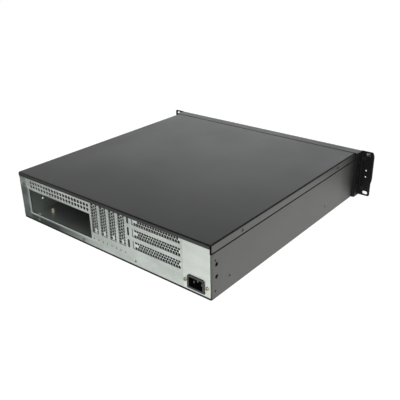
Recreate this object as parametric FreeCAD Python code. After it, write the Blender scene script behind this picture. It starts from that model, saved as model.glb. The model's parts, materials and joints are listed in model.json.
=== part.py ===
import FreeCAD, Part
import math
import os
from FreeCAD import Matrix, Vector

# Empty two-unit rackmount server case, in millimetres.
# +X is to the right seen from the front, +Y to the rear and +Z up. Until a piece is saved,
# y is 0 on the outer face of the rear panel and z is 0 under the floor.

# Overall sizes.
rack_width = 482.6          # over both rack ears
body_height = 88.0
case_depth = 450.0          # rear panel to the front of the rack ears
ear_flange = 21.3           # from the front block to the end of a rack ear
block_step = 5.0            # by which the front block stands out past each side wall
front_block_depth = 21.0
bay_inset = 84.0            # from the side wall to the middle of a drive bay

# Sheets, bends and gaps.
tray_sheet = 1.2
cover_sheet = 1.0
panel_sheet = 1.0
front_sheet = 1.2
ear_sheet = 2.0
bend_radius = 1.0           # inside radius of a fold
cover_bend_radius = 1.5     # inside radius of the cover's folds
tight_bend_radius = 0.4     # inside radius at the top of the rear panel
cover_gap = 0.2             # between the cover and what it sits on
relief = 0.5                # gap where two folds meet
slight_turn = math.radians(60)   # a smaller turn is a joggle with plain corners
screw_clearance = 0.15      # radial gap round a screw
overshoot = 1.0             # by which a cut runs past the metal
near = 0.1                  # how close an edge lies to the place where it is looked for
screw_flat = 0.6            # flat top of a domed head, as a share of its radius
screw_rim = 0.4             # height of its rim, as a share of its height

# Base tray.
seam_drop = 13.8            # from the top to the step in the side walls
strip_setback = 8.0         # the walls' inset tops end this far short of the rear panel
joggle_height = 1.0
top_flange = 14.0
floor_flange = 13.0         # rear fold of the floor, behind the rear panel
wall_flange = 19.0          # rear folds of the side walls
wall_hole_setback = 11.5    # large holes in the side walls
wall_hole_diameter = 6.5
wall_hole_heights = (35.0, 54.5)
small_hole_diameter = 3.4
small_holes = ((8.5, 13.0), (8.6, 61.5), (41.3, 21.8), (320.3, 21.6))   # setback, height
bulkhead_foot = 12.0        # fold on the floor behind the front bulkhead
bay_window_width = 140.0
bay_window_margin = 11.0    # below and above

# Top cover.
cover_lip = 6.0             # rear lip, over the top edge of the rear panel
seam_gap = 1.5              # open joint under the cover's side flanges
cover_screw_setbacks = (71.5, 359.5)
cover_screw_drop = 7.0
cover_screw_head = 5.5
cover_screw_diameter = 3.0
cover_screw_length = 7.0

# Rear panel.
panel_side_gap = 2.0        # from the outer face of the side wall to the panel's edge
panel_bottom = 2.0
panel_top_flange = 12.0
io_width = 158.75
io_height = 44.45
io_inset = 26.55            # from the right side wall to the opening for the board's connectors
io_bottom = 17.0
io_rim_side = 5.5
io_rim_bottom = 6.0
io_rim_top = 3.0
io_rim_proud = 0.6
io_rim_chamfer = 0.5
vent_pitch = 7.37
vent_columns = 21
vent_rows = 2
vent_hole_diameter = 5.5
vent_drop = 12.73           # from the top to the upper row
vent_inset = 4.2            # from the connector opening's inner side to the first column
slot_pitch = 20.32          # pitch of expansion slots
low_slot_count = 4
low_slot_width = 14.0
low_slot_gap = 10.9         # from the connector opening to the middle of the first slot
low_slot_bottom = 30.0
low_slot_drop = 5.8
full_slot_count = 3
full_slot_height = 13.4
full_slot_margin = 55.0      # from the left side wall to the far ends of the slots
full_slot_gap = 23.34       # from the middle of the last upright slot to the lying ones
full_slot_drop = 9.46       # from the top to the middle of the highest one
tongue_slit_gap = 9.0
tongue_slit_width = 3.8
rail_hole_diameter = 2.2
rail_hole_height = 19.0
top_screw_inset = 14.4      # from the right side wall
top_screw_drop = 19.2
low_screws = ((15.4, 21.1), (44.6, 8.1), (163.3, 7.4))   # inset from the right, height
panel_screw_diameter = 3.0
panel_screw_head = 5.6
panel_screw_head_height = 1.2
earth_hole_inset = 3.0      # past the near ends of the lying slots
earth_hole_height = 10.3
earth_hole_diameter = 3.2

# Slot covers.
slot_cover_sheet = 0.8
slot_cover_width = 16.0
slot_cover_tab = 11.0
tongue_width = 10.2
tongue_reach = 8.0            # beyond the shoulder of the cover
shoulder_setback = 1.8        # shoulder inside the slot's far end
tongue_rail_bottom = 14.5
tongue_rail_height = 13.5
tongue_rail_sheet = 1.0
cover_hole_diameter = 4.9     # over the corners of the six-sided holes
cover_hole_pitch = 5.05
cover_hole_row_step = 4.5
cover_hole_margin = 3.2
shelf_sheet = 1.2
shelf_depth = 13.0
tab_screw_depth = 7.0
shelf_finger = 3.6
slot_edge = 0.2               # from the edge of a slot to the shelf beyond it
plate_gap = 0.3               # between loose sheets
slot_screw_head = 6.0
slot_screw_head_height = 1.4
slot_screw_diameter = 3.0
slot_screw_length = 4.0

# Mains inlet.
inlet_inset = 27.8          # from the left side wall to the middle
inlet_height = 17.75
inlet_width = 31.0
inlet_nose_height = 22.0
inlet_proud = 1.4
inlet_corner = 2.5
inlet_wall = 3.0
inlet_cavity_depth = 15.5
inlet_body_depth = 22.0
inlet_flange_width = 49.0
inlet_flange_height = 24.0
inlet_flange_sheet = 2.5
inlet_gap = 0.2
inlet_screw_spacing = 40.0
inlet_screw_head = 5.6
inlet_screw_head_height = 1.6
pin_width = 4.0
pin_thickness = 2.0
pin_setback = 5.5           # pin ends behind the mouth
pin_spacing = 14.0
pin_rise = 4.0
terminal_length = 9.0

# Rack ears and handles.
ear_leg_depth = 18.0
ear_corner = 3.0
rack_slot_spacing = 465.1
rack_slot_margin = 5.9      # from the end of an ear to the middle of a slot
rack_slot_length = 10.0
rack_slot_width = 6.6
ear_hole_diameter = 3.2
ear_hole_inset = 10.8       # from the outer edge of an ear
ear_hole_rise = 12.5
ear_screw_margin = 20.0
ear_screw_head = 5.5
ear_screw_diameter = 3.0
handle_width = 10.0
handle_inset = 10.8         # from the outer edge of an ear to the handle's outer side
handle_margin = 10.0        # from the end of an ear
handle_reach = 34.0
handle_bar = 8.0
handle_corner = 13.0
handle_edge = 1.5
handle_screw_diameter = 4.0
handle_screw_head = 7.0
handle_screw_length = 14.0

# Front panel and its controls.
front_slot_count = 12       # in each vent field
front_slot_pitch = 11.0
front_slot_width = 6.0
front_slot_margin = 16.0
front_tab = 13.0
button_drop = 30.0
power_button_x = -34.0
power_button_diameter = 12.0
reset_button_x = -12.0
reset_button_diameter = 5.0
button_gap = 0.3
button_proud = 1.6
button_travel = 1.2
button_chamfer = 0.4
button_collar = 1.6
button_collar_depth = 1.2
stem_diameter = 3.0
switch_size = 6.4
switch_depth = 7.0
led_places = (8.0, 20.0)
led_diameter = 3.0
usb_row = 30.0
usb_places = (-24.0, 2.0)
usb_width = 13.1
usb_height = 5.7
usb_wall = 0.5
usb_tongue = 1.8
board_setback = 14.0        # controls board behind the panel's outer face
board_sheet = 1.6
board_width = 84.0
board_drop = 16.0
board_center_x = -6.0
board_bottom = 20.0
spacer_diameter = 6.0

# Inside.
standoff_height = 6.5
standoff_across = 5.0
standoff_bore = 2.5
left_standoff_inset = 308.0   # from the right side wall
middle_standoff_inset = 183.5
right_standoff_inset = 26.0
rear_standoff_setback = 13.0
middle_standoff_setback = 168.0
front_standoff_setback = 240.3
corner_standoff_inset = 28.0
corner_standoff_setback = 41.0
fan_headroom = 4.6
fan_depth = 25.0
fan_rim = 2.0               # least wall round the duct
fan_hub_diameter = 34.0
fan_insets = (177.0, 87.0)   # from the right side wall
fan_wall_setback = 290.0
fan_wall_reach = 231.0       # from the right side wall
fan_wall_drop = 4.0
fan_wall_foot = 14.0
fan_wall_lift = 1.0           # fans stand clear of the floor
fan_blade_count = 7
fan_blade_gap = 1.2
fan_blade_sheet = 1.6
fan_blade_pitch = 38.0
fan_strut_width = 4.0
fan_corner = 3.0
fan_boss_diameter = 10.0
fan_boss_length = 9.0
fan_hub_wall = 2.0
fan_front_gap = 2.0
fan_plate = 3.0
fan_shaft_diameter = 4.0
fan_shaft_gap = 0.05
fan_hole_inset = 4.25
fan_hole_diameter = 4.4
cage_inner_width = 102.4
cage_drop = 28.8
cage_setback = 306.0
cage_foot = 12.0
cage_hole_diameter = 3.6
cage_hole_heights = (9.0, 37.0)
cage_hole_steps = (28.5, 70.0, 104.0)   # in front of the cage's rear edge
psu_stop_setback = 286.0
psu_stop_height = 40.0
psu_stop_length = 120.0
psu_stop_foot = 16.0

# Worked out from the sizes above.
front_width = rack_width - 2 * ear_flange
half_body = front_width / 2 - block_step
bay_center = half_body - bay_inset
seam_height = body_height - seam_drop
cover_screw_height = body_height - cover_screw_drop
tray_inner = half_body - tray_sheet
strip_outer = half_body - cover_sheet - cover_gap
strip_inner = strip_outer - tray_sheet
rest_height = body_height - cover_sheet - cover_gap      # top of the tray under the cover
flange_inner = strip_outer - top_flange
front_wall_y = front_block_depth - case_depth            # front face of the tray
tray_rear_y = -panel_sheet
fold = bend_radius + tray_sheet                          # outside radius of a tray fold
ear_rear_y = ear_sheet - case_depth
leg_inner = front_width / 2 - ear_sheet
handle_outer_x = rack_width / 2 - handle_inset
handle_center_x = handle_outer_x - handle_width / 2
handle_height = body_height - 2 * handle_margin
ear_screw_heights = (ear_screw_margin, body_height / 2, body_height - ear_screw_margin)
ear_screw_y = ear_rear_y + ear_leg_depth / 2
board_front_y = board_setback - case_depth
board_height = body_height - board_drop - board_bottom
button_row = body_height - button_drop
io_left = half_body - io_inset - io_width
low_slot_first_x = io_left - low_slot_gap
low_slot_top = body_height - low_slot_drop
full_slot_inner_x = low_slot_first_x - (low_slot_count - 1) * slot_pitch - full_slot_gap
full_slot_length = half_body - full_slot_margin + full_slot_inner_x
full_slot_first_height = body_height - full_slot_drop - (full_slot_count - 1) * slot_pitch
inlet_x = inlet_inset - half_body
cage_depth = -front_wall_y - bulkhead_foot - relief - cage_setback
fan_size = rest_height - tray_sheet - fan_wall_lift - fan_headroom
fan_duct_diameter = fan_size - 2 * fan_rim
fan_hole_spacing = fan_size - 2 * fan_hole_inset
fan_places = [half_body - inset for inset in fan_insets]
slot_cover_margin = slot_cover_sheet + shelf_sheet + slot_edge   # tab's face to the slot's near end
case_front_y = -case_depth - handle_reach
case_rear_y = max(cover_gap + cover_sheet, inlet_screw_head_height)
origin_shift = -(case_front_y + case_rear_y) / 2


def box(x0, x1, y0, y1, z0, z1):
    return Part.makeBox(x1 - x0, y1 - y0, z1 - z0, Vector(x0, y0, z0))


def rod(radius, start, end):
    start, end = Vector(*start), Vector(*end)
    return Part.makeCylinder(radius, (end - start).Length, start, end - start)


def mirrored(shape):
    return shape.mirror(Vector(0, 0, 0), Vector(1, 0, 0))


def fused(shapes):
    shapes = list(shapes)
    return shapes[0].multiFuse(shapes[1:]).removeSplitter() if len(shapes) > 1 else shapes[0]


def side_of(start, end):
    along = end - start
    return Vector(-along.y, along.x, 0).normalize()


def offset_points(points, distance):
    """Points of the line that runs beside an open line, on its left."""
    result = []
    for index, point in enumerate(points):
        sides = [side_of(a, b) for a, b in zip(points[:-1], points[1:])]
        beside = sides[max(index - 1, 0):index + 1]
        total = beside[0] + beside[-1]
        result.append(point + total * (2 * distance / total.dot(total)))
    return result


def rounded_edges(points, radii):
    edges = []
    start = points[0]
    for index in range(1, len(points) - 1):
        corner, radius = points[index], radii[index - 1]
        if not radius:
            edges.append(Part.makeLine(start, corner))
            start = corner
            continue
        back = (points[index - 1] - corner).normalize()
        ahead = (points[index + 1] - corner).normalize()
        half_turn = (math.pi - back.getAngle(ahead)) / 2
        cut = radius * math.tan(half_turn)
        first, last = corner + back * cut, corner + ahead * cut
        middle = corner + (back + ahead).normalize() * (radius / math.cos(half_turn) - radius)
        edges += [Part.makeLine(start, first), Part.Arc(first, middle, last).toShape()]
        start = last
    return edges + [Part.makeLine(start, points[-1])]


def folded_face(points, sheet, inside_radius):
    """Section of a folded sheet whose outer line is given, with the metal on its left.

    A slight turn, as in a joggle, stays a plain corner."""
    outer = [Vector(u, v, 0) for u, v in points]
    inner = offset_points(outer, sheet)
    outer_radii, inner_radii = [], []
    for before, corner, after in zip(outer[:-2], outer[1:-1], outer[2:]):
        slight = (corner - before).getAngle(after - corner) < slight_turn
        turns_left = (corner - before).cross(after - corner).z > 0
        outer_radii.append(0 if slight else inside_radius + (sheet if turns_left else 0))
        inner_radii.append(0 if slight else inside_radius + (0 if turns_left else sheet))
    edges = rounded_edges(outer, outer_radii)
    edges += rounded_edges(inner, inner_radii)
    edges += [Part.makeLine(outer[0], inner[0]), Part.makeLine(outer[-1], inner[-1])]
    return Part.Face(Part.Wire(Part.__sortEdges__(edges)))


def along_x(face, start, end):
    """A face drawn with y across and z up, pushed along X."""
    turned = face.transformGeometry(Matrix(0, 0, 1, start, 1, 0, 0, 0, 0, 1, 0, 0, 0, 0, 0, 1))
    return turned.extrude(Vector(end - start, 0, 0))


def along_y(face, start, end):
    """A face drawn with x across and z up, pushed along Y."""
    turned = face.copy()
    turned.rotate(Vector(0, 0, 0), Vector(1, 0, 0), 90)
    turned.translate(Vector(0, start, 0))
    return turned.extrude(Vector(0, end - start, 0))


def along_z(face, start, end):
    """A face drawn with x across and y up the page, pushed along Z."""
    lifted = face.copy()
    lifted.translate(Vector(0, 0, start))
    return lifted.extrude(Vector(0, 0, end - start))


def polygon_face(points):
    corners = [Vector(u, v, 0) for u, v in points]
    return Part.Face(Part.makePolygon(corners + corners[:1]))


def screw(head_radius, head_height, radius, length, seat, direction):
    """Screw with a low domed head; its shank runs along the direction from the seat."""
    rim = head_height * screw_rim
    profile = polygon_face([(0, -head_height), (head_radius * screw_flat, -head_height), (head_radius, -rim),
                            (head_radius, 0), (radius, 0), (radius, length), (0, length)])
    return turned_on(profile, seat, direction)


def flush_screw(head_radius, radius, length, seat, direction):
    sink = head_radius - radius
    profile = polygon_face([(0, 0), (head_radius, 0), (radius, sink), (radius, length), (0, length)])
    return turned_on(profile, seat, direction)


def turned_on(profile, seat, direction):
    """A profile with radius across and depth up the page, revolved about a screw's axis."""
    solid = profile.revolve(Vector(0, 0, 0), Vector(0, 1, 0), 360)
    turn = FreeCAD.Rotation(Vector(0, 1, 0), Vector(*direction))
    solid.Placement = FreeCAD.Placement(Vector(*seat), turn)
    return Part.Solid(Part.Shell(solid.Faces)) if solid.ShapeType != "Solid" else solid


def side_wall_holes():
    places = [(wall_hole_setback, height, wall_hole_diameter) for height in wall_hole_heights]
    places += [(setback, height, small_hole_diameter) for setback, height in small_holes]
    return [rod(diameter / 2, (-half_body - overshoot, -setback, height), (half_body + overshoot, -setback, height))
            for setback, height, diameter in places]


def cover_screw_notches():
    """Open notches in the tray's top edges, so that the cover lifts with its screws."""
    width = cover_screw_diameter + 4 * screw_clearance
    cuts = []
    for setback in cover_screw_setbacks:
        notch = box(flange_inner - overshoot, strip_outer + overshoot, -setback - width / 2, -setback + width / 2,
                    cover_screw_height, rest_height + overshoot)
        end = rod(width / 2, (flange_inner - overshoot, -setback, cover_screw_height),
                  (strip_outer + overshoot, -setback, cover_screw_height))
        cuts += [notch, end, mirrored(notch), mirrored(end)]
    return cuts


def bay_windows():
    windows = []
    for center in (-bay_center, bay_center):
        windows.append(box(center - bay_window_width / 2, center + bay_window_width / 2,
                           front_wall_y - overshoot, front_wall_y + 2 * tray_sheet,
                           bay_window_margin, body_height - bay_window_margin))
    return windows


def make_base_tray():
    """Floor and side walls with their rear folds, from one sheet."""
    right = [(half_body, 0), (half_body, seam_height - joggle_height),
             (strip_outer, seam_height), (strip_outer, rest_height),
             (flange_inner, rest_height)]
    left = [(-x, z) for x, z in reversed(right)]
    channel = along_y(folded_face(left + right, tray_sheet, bend_radius), front_wall_y, tray_rear_y)
    flat_floor = half_body - fold - relief
    open_ends = [box(-flat_floor, flat_floor, tray_rear_y - fold, tray_rear_y, 0, tray_sheet)]
    wall_top = seam_height - joggle_height
    inlet_top = inlet_height + inlet_flange_height / 2 + relief
    beside_inlet = half_body + inlet_x - inlet_flange_width / 2 - relief
    rear_folds = [(1, floor_flange + relief, wall_flange), (-1, inlet_top, wall_flange),
                  (-1, fold + tray_sheet + relief, beside_inlet)]
    for side, bottom, reach in rear_folds:
        cut = box(tray_inner - fold, half_body, tray_rear_y - fold, tray_rear_y,
                  bottom - relief, wall_top + relief)
        open_ends.append(cut if side > 0 else mirrored(cut))
    inset_end = box(flange_inner - overshoot, strip_outer + overshoot, tray_rear_y - strip_setback, tray_rear_y,
                    wall_top + relief, body_height)
    open_ends += [inset_end, mirrored(inset_end)]
    channel = channel.cut(Part.makeCompound(open_ends))
    run = 2 * fold
    rear = along_x(folded_face([(tray_rear_y - run, 0), (tray_rear_y, 0), (tray_rear_y, floor_flange)],
                               tray_sheet, bend_radius), -flat_floor, flat_floor)
    folds = []
    for side, bottom, reach in rear_folds:
        plan = folded_face([(half_body, tray_rear_y - run), (half_body, tray_rear_y),
                            (half_body - reach, tray_rear_y)], tray_sheet, bend_radius)
        flange = along_z(plan, bottom, inlet_top if reach == beside_inlet else wall_top)
        folds.append(flange if side > 0 else mirrored(flange))
    tray = fused([channel, rear] + folds)
    inlet_notch = box(beside_inlet - half_body, inlet_x + inlet_flange_width / 2 + relief, tray_rear_y - run,
                      tray_rear_y + relief, tray_sheet + fold, floor_flange + overshoot)
    cuts = side_wall_holes() + cover_screw_notches() + [inlet_notch]
    radius = panel_screw_diameter / 2 + screw_clearance
    cuts += [rod(radius, (x, tray_rear_y - 2 * tray_sheet, z), (x, 0, z)) for x, z in panel_screw_places()]
    return tray.cut(Part.makeCompound(cuts))


def make_front_bulkhead():
    """Sheet across the front of the tray, with a foot, a top fold and a window for each drive bay."""
    foot, rear = bulkhead_foot + front_wall_y, front_wall_y + panel_top_flange
    section = folded_face([(rear, rest_height), (front_wall_y, rest_height), (front_wall_y, tray_sheet),
                           (foot, tray_sheet)], tray_sheet, bend_radius)
    half = strip_inner - relief
    wall = along_x(section, -half, half)
    corner = box(flange_inner - relief, half_body, front_wall_y, rear + overshoot, rest_height - fold, body_height)
    return wall.cut(Part.makeCompound([corner, mirrored(corner)] + bay_windows()))


def make_top_cover():
    """Cover with side flanges, a short rear lip and dimples for flush screws."""
    bottom = seam_height + seam_gap
    front_y = front_wall_y + 2 * cover_gap
    lip_y = cover_gap + cover_sheet
    outside = cover_bend_radius + cover_sheet
    section = [(half_body, bottom), (half_body, body_height),
               (-half_body, body_height), (-half_body, bottom)]
    channel = along_y(folded_face(section, cover_sheet, cover_bend_radius), front_y, lip_y - outside)
    lip_section = [(lip_y, body_height - cover_lip), (lip_y, body_height),
                   (lip_y - 3 * outside, body_height)]
    flat_half = half_body - outside - relief
    lip = along_x(folded_face(lip_section, cover_sheet, cover_bend_radius), -flat_half, flat_half)
    cover = fused([channel, lip])
    cuts = []
    for setback in cover_screw_setbacks:
        sink = (cover_screw_head - cover_screw_diameter) / 2
        head = cover_screw_head / 2 + screw_clearance
        shank = cover_screw_diameter / 2 + screw_clearance
        dimple = Part.makeCone(head, shank, sink, Vector(half_body, -setback, cover_screw_height),
                               Vector(-1, 0, 0))
        hole = rod(shank, (half_body + overshoot, -setback, cover_screw_height),
                   (strip_inner, -setback, cover_screw_height))
        cuts += [dimple, hole, mirrored(dimple), mirrored(hole)]
    return cover.cut(Part.makeCompound(cuts))


def make_cover_screws():
    screws = []
    for setback in cover_screw_setbacks:
        one = flush_screw(cover_screw_head / 2, cover_screw_diameter / 2, cover_screw_length,
                          (half_body, -setback, cover_screw_height), (-1, 0, 0))
        screws += [one, mirrored(one)]
    return Part.makeCompound(screws)


def panel_screw_places():
    top = (half_body - top_screw_inset, body_height - top_screw_drop)
    return [top] + [(half_body - inset, height) for inset, height in low_screws]


def low_slot_centers():
    return [low_slot_first_x - index * slot_pitch for index in range(low_slot_count)]


def full_slot_centers():
    return [full_slot_first_height + index * slot_pitch for index in range(full_slot_count)]


def rail_holes():
    """Small holes through the rear panel and the rail behind it, two under each upright cover."""
    return [rod(rail_hole_diameter / 2, (x + offset, -panel_top_flange, rail_hole_height),
                (x + offset, 1, rail_hole_height))
            for x in low_slot_centers() for offset in (-slot_pitch / 4, slot_pitch / 4)]


def make_rear_panel():
    """Bare zinc panel with the vents, the slots and the cut-out for the mains inlet."""
    side_x = half_body - panel_side_gap
    step_x = strip_inner - relief
    step_z = seam_height - relief
    flat_top = rest_height - tight_bend_radius - panel_sheet
    edge = [(side_x, panel_bottom), (side_x, step_z), (step_x, step_z), (step_x, flat_top)]
    outline = edge + [(-x, z) for x, z in reversed(edge)]
    plate = along_y(polygon_face(outline), -panel_sheet, 0)
    top = along_x(folded_face([(0, flat_top - panel_sheet), (0, rest_height), (-panel_top_flange, rest_height)],
                              panel_sheet, tight_bend_radius), relief - flange_inner, flange_inner - relief)
    rim = box(io_left - io_rim_side, io_left + io_width + io_rim_side, 0, io_rim_proud,
              io_bottom - io_rim_bottom, io_bottom + io_height + io_rim_top)
    rim = rim.makeChamfer(io_rim_chamfer, [e for e in rim.Edges if e.BoundBox.YMin > io_rim_proud / 2])
    panel = fused([plate, top, rim])
    deep, proud = -2 * panel_sheet, 2 * io_rim_proud
    cuts = [box(io_left, io_left + io_width, deep, proud, io_bottom, io_bottom + io_height)]
    for column in range(vent_columns):
        for row in range(vent_rows):
            x = io_left + vent_inset + column * vent_pitch
            z = body_height - vent_drop - row * vent_pitch
            cuts.append(rod(vent_hole_diameter / 2, (x, deep, z), (x, proud, z)))
    cuts += [box(x - low_slot_width / 2, x + low_slot_width / 2, deep, proud,
                 low_slot_bottom, low_slot_top) for x in low_slot_centers()]
    cuts += rail_holes()
    for z in full_slot_centers():
        cuts.append(box(full_slot_inner_x - full_slot_length, full_slot_inner_x, deep, proud,
                        z - full_slot_height / 2, z + full_slot_height / 2))
        slit = full_slot_inner_x + tongue_slit_gap
        cuts.append(box(slit - tongue_slit_width / 2, slit + tongue_slit_width / 2, deep, proud,
                        z - full_slot_height / 2, z + full_slot_height / 2))
    radius = panel_screw_diameter / 2 + screw_clearance
    cuts += [rod(radius, (x, deep, z), (x, proud, z)) for x, z in panel_screw_places()]
    earth_x = full_slot_inner_x - earth_hole_inset
    cuts.append(rod(earth_hole_diameter / 2, (earth_x, deep, earth_hole_height),
                    (earth_x, proud, earth_hole_height)))
    cuts.append(inlet_outline(inlet_gap, deep, proud))
    for side in (-1, 1):
        x = inlet_x + side * inlet_screw_spacing / 2
        cuts.append(rod(radius, (x, deep, inlet_height), (x, proud, inlet_height)))
    notch_start = full_slot_inner_x - full_slot_length - slot_cover_margin - 2 * slot_screw_head_height
    cuts.append(box(notch_start, max(low_slot_centers()) + slot_pitch / 2, -panel_top_flange - overshoot,
                    -panel_sheet, low_slot_top, body_height))
    return panel.cut(Part.makeCompound(cuts))


def make_panel_screws():
    length = panel_sheet + tray_sheet + overshoot
    return Part.makeCompound([
        screw(panel_screw_head / 2, panel_screw_head_height, panel_screw_diameter / 2, length,
              (x, 0, z), (0, -1, 0)) for x, z in panel_screw_places()])


def hexagon_hole(x, z):
    radius = cover_hole_diameter / 2
    corners = [(x + radius * math.cos(math.radians(60 * k)), z + radius * math.sin(math.radians(60 * k)))
               for k in range(6)]
    return along_y(polygon_face(corners), 1, -2 * slot_cover_sheet)


def slot_cover(slot_length):
    """Blanking cover lying along +X: tab, perforated plate and tongue. Its plate's outer face is y = 0."""
    half, half_tongue = slot_cover_width / 2, tongue_width / 2
    taper = half - half_tongue
    shoulder = slot_cover_margin + slot_length - shoulder_setback
    bend_end = tight_bend_radius + slot_cover_sheet
    upper = [(bend_end, half), (shoulder, half), (shoulder + taper, half_tongue),
             (shoulder + tongue_reach, half_tongue)]
    outline = upper + [(x, -z) for x, z in reversed(upper)]
    plate = along_y(polygon_face(outline), -slot_cover_sheet, 0)
    tab = along_z(folded_face([(bend_end + overshoot, 0), (0, 0), (0, -slot_cover_tab)], slot_cover_sheet,
                              tight_bend_radius), -half, half)
    cover = fused([plate, tab])
    holes = []
    first = slot_cover_margin + cover_hole_margin
    steps = int((shoulder - cover_hole_margin / 2 - first) / cover_hole_pitch)
    for row in (-1, 0, 1):
        shift = 0 if row else cover_hole_pitch / 2
        for step in range(steps + (1 if row else -1)):
            holes.append(hexagon_hole(first + shift + step * cover_hole_pitch, row * cover_hole_row_step))
    holes.append(rod(slot_screw_diameter / 2 + screw_clearance, (-1, -tab_screw_depth, 0),
                     (2 * slot_cover_sheet, -tab_screw_depth, 0)))
    return cover.cut(Part.makeCompound(holes))


def tab_screw():
    return screw(slot_screw_head / 2, slot_screw_head_height, slot_screw_diameter / 2, slot_screw_length,
                 (0, -tab_screw_depth, 0), (1, 0, 0))


def cover_shelf(count, full_ends):
    """Comb that carries the tabs of a row of covers, stacked along +Z from z = 0."""
    bottom = -slot_pitch / 2 - shelf_finger / 2
    top = (count - 0.5) * slot_pitch + shelf_finger / 2
    if not full_ends:
        top = (count - 1) * slot_pitch + slot_cover_width / 2
    start, end = slot_cover_sheet, slot_cover_sheet + shelf_sheet
    shelf = box(start, end, -shelf_depth, 0, bottom, top)
    cuts = []
    for index in range(count):
        center = index * slot_pitch
        reach = (slot_pitch - shelf_finger) / 2
        cuts.append(box(start, end, -slot_cover_sheet - plate_gap, 0, center - reach, center + reach))
        cuts.append(rod(slot_screw_diameter / 2 + screw_clearance, (start - overshoot, -tab_screw_depth, center),
                        (end + overshoot, -tab_screw_depth, center)))
    return shelf.cut(Part.makeCompound(cuts))


def in_full_slot(shape, index=0):
    placed = shape.copy()
    placed.translate(Vector(full_slot_inner_x - full_slot_length - slot_cover_margin, -panel_sheet,
                            full_slot_first_height + index * slot_pitch))
    return placed


def in_low_slot(shape, index=0):
    placed = shape.copy()
    placed.rotate(Vector(0, 0, 0), Vector(0, 1, 0), 90)
    placed.translate(Vector(low_slot_first_x - index * slot_pitch, -panel_sheet,
                            low_slot_top + slot_cover_margin))
    return placed


def make_low_slot_shelf():
    turned = cover_shelf(low_slot_count, True).mirror(Vector(0, 0, 0), Vector(0, 0, 1))
    return in_low_slot(turned)


def make_tongue_rail():
    """Joggled strip behind the rear panel that holds the tongues of the upright covers."""
    foot = tongue_rail_bottom
    top = foot + tongue_rail_height
    step = slot_cover_sheet + plate_gap
    middle = foot + tongue_rail_height / 2
    section = folded_face([(-panel_sheet, foot), (-panel_sheet, middle),
                           (-panel_sheet - step, middle + 2 * step), (-panel_sheet - step, top)],
                          tongue_rail_sheet, bend_radius)
    length = (low_slot_count - 1) * slot_pitch + slot_cover_width
    start = min(low_slot_centers()) - slot_cover_width / 2
    return along_x(section, start, start + length).cut(Part.makeCompound(rail_holes()))


def inlet_outline(gap, y0, y1):
    """Nose of the inlet, with its two upper corners cut off."""
    half, rise = inlet_width / 2 + gap, inlet_nose_height / 2 + gap
    corner = inlet_corner + gap * math.tan(math.pi / 8)
    points = [(-half, -rise), (half, -rise), (half, rise - corner), (half - corner, rise),
              (-half + corner, rise), (-half, rise - corner)]
    return along_y(polygon_face([(inlet_x + x, inlet_height + z) for x, z in points]), y0, y1)


def inlet_pin_places():
    return [(inlet_x - pin_spacing / 2, inlet_height - pin_rise / 2),
            (inlet_x + pin_spacing / 2, inlet_height - pin_rise / 2),
            (inlet_x, inlet_height + pin_rise / 2)]


def make_inlet_pins():
    tip = inlet_proud - pin_setback
    rear = -inlet_body_depth - terminal_length
    return Part.makeCompound([
        box(x - pin_thickness / 2, x + pin_thickness / 2, rear, tip, z - pin_width / 2, z + pin_width / 2)
        for x, z in inlet_pin_places()])


def make_inlet_housing():
    nose = inlet_outline(0, -inlet_body_depth, inlet_proud)
    flange = box(inlet_x - inlet_flange_width / 2, inlet_x + inlet_flange_width / 2,
                 -panel_sheet - inlet_flange_sheet, -panel_sheet,
                 inlet_height - inlet_flange_height / 2, inlet_height + inlet_flange_height / 2)
    cavity = inlet_outline(-inlet_wall, inlet_proud - inlet_cavity_depth, inlet_proud + overshoot)
    radius = panel_screw_diameter / 2 + screw_clearance
    holes = [rod(radius, (x, -panel_sheet - inlet_flange_sheet - overshoot, inlet_height),
                 (x, 0, inlet_height)) for x in inlet_screw_places()]
    cuts = [cavity] + holes + make_inlet_pins().Solids
    return fused([nose, flange]).cut(Part.makeCompound(cuts))


def inlet_screw_places():
    return [inlet_x + side * inlet_screw_spacing / 2 for side in (-1, 1)]


def make_inlet_screws():
    length = panel_sheet + inlet_flange_sheet + overshoot
    return Part.makeCompound([
        screw(inlet_screw_head / 2, inlet_screw_head_height, panel_screw_diameter / 2, length,
              (x, 0, inlet_height), (0, -1, 0)) for x in inlet_screw_places()])


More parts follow.
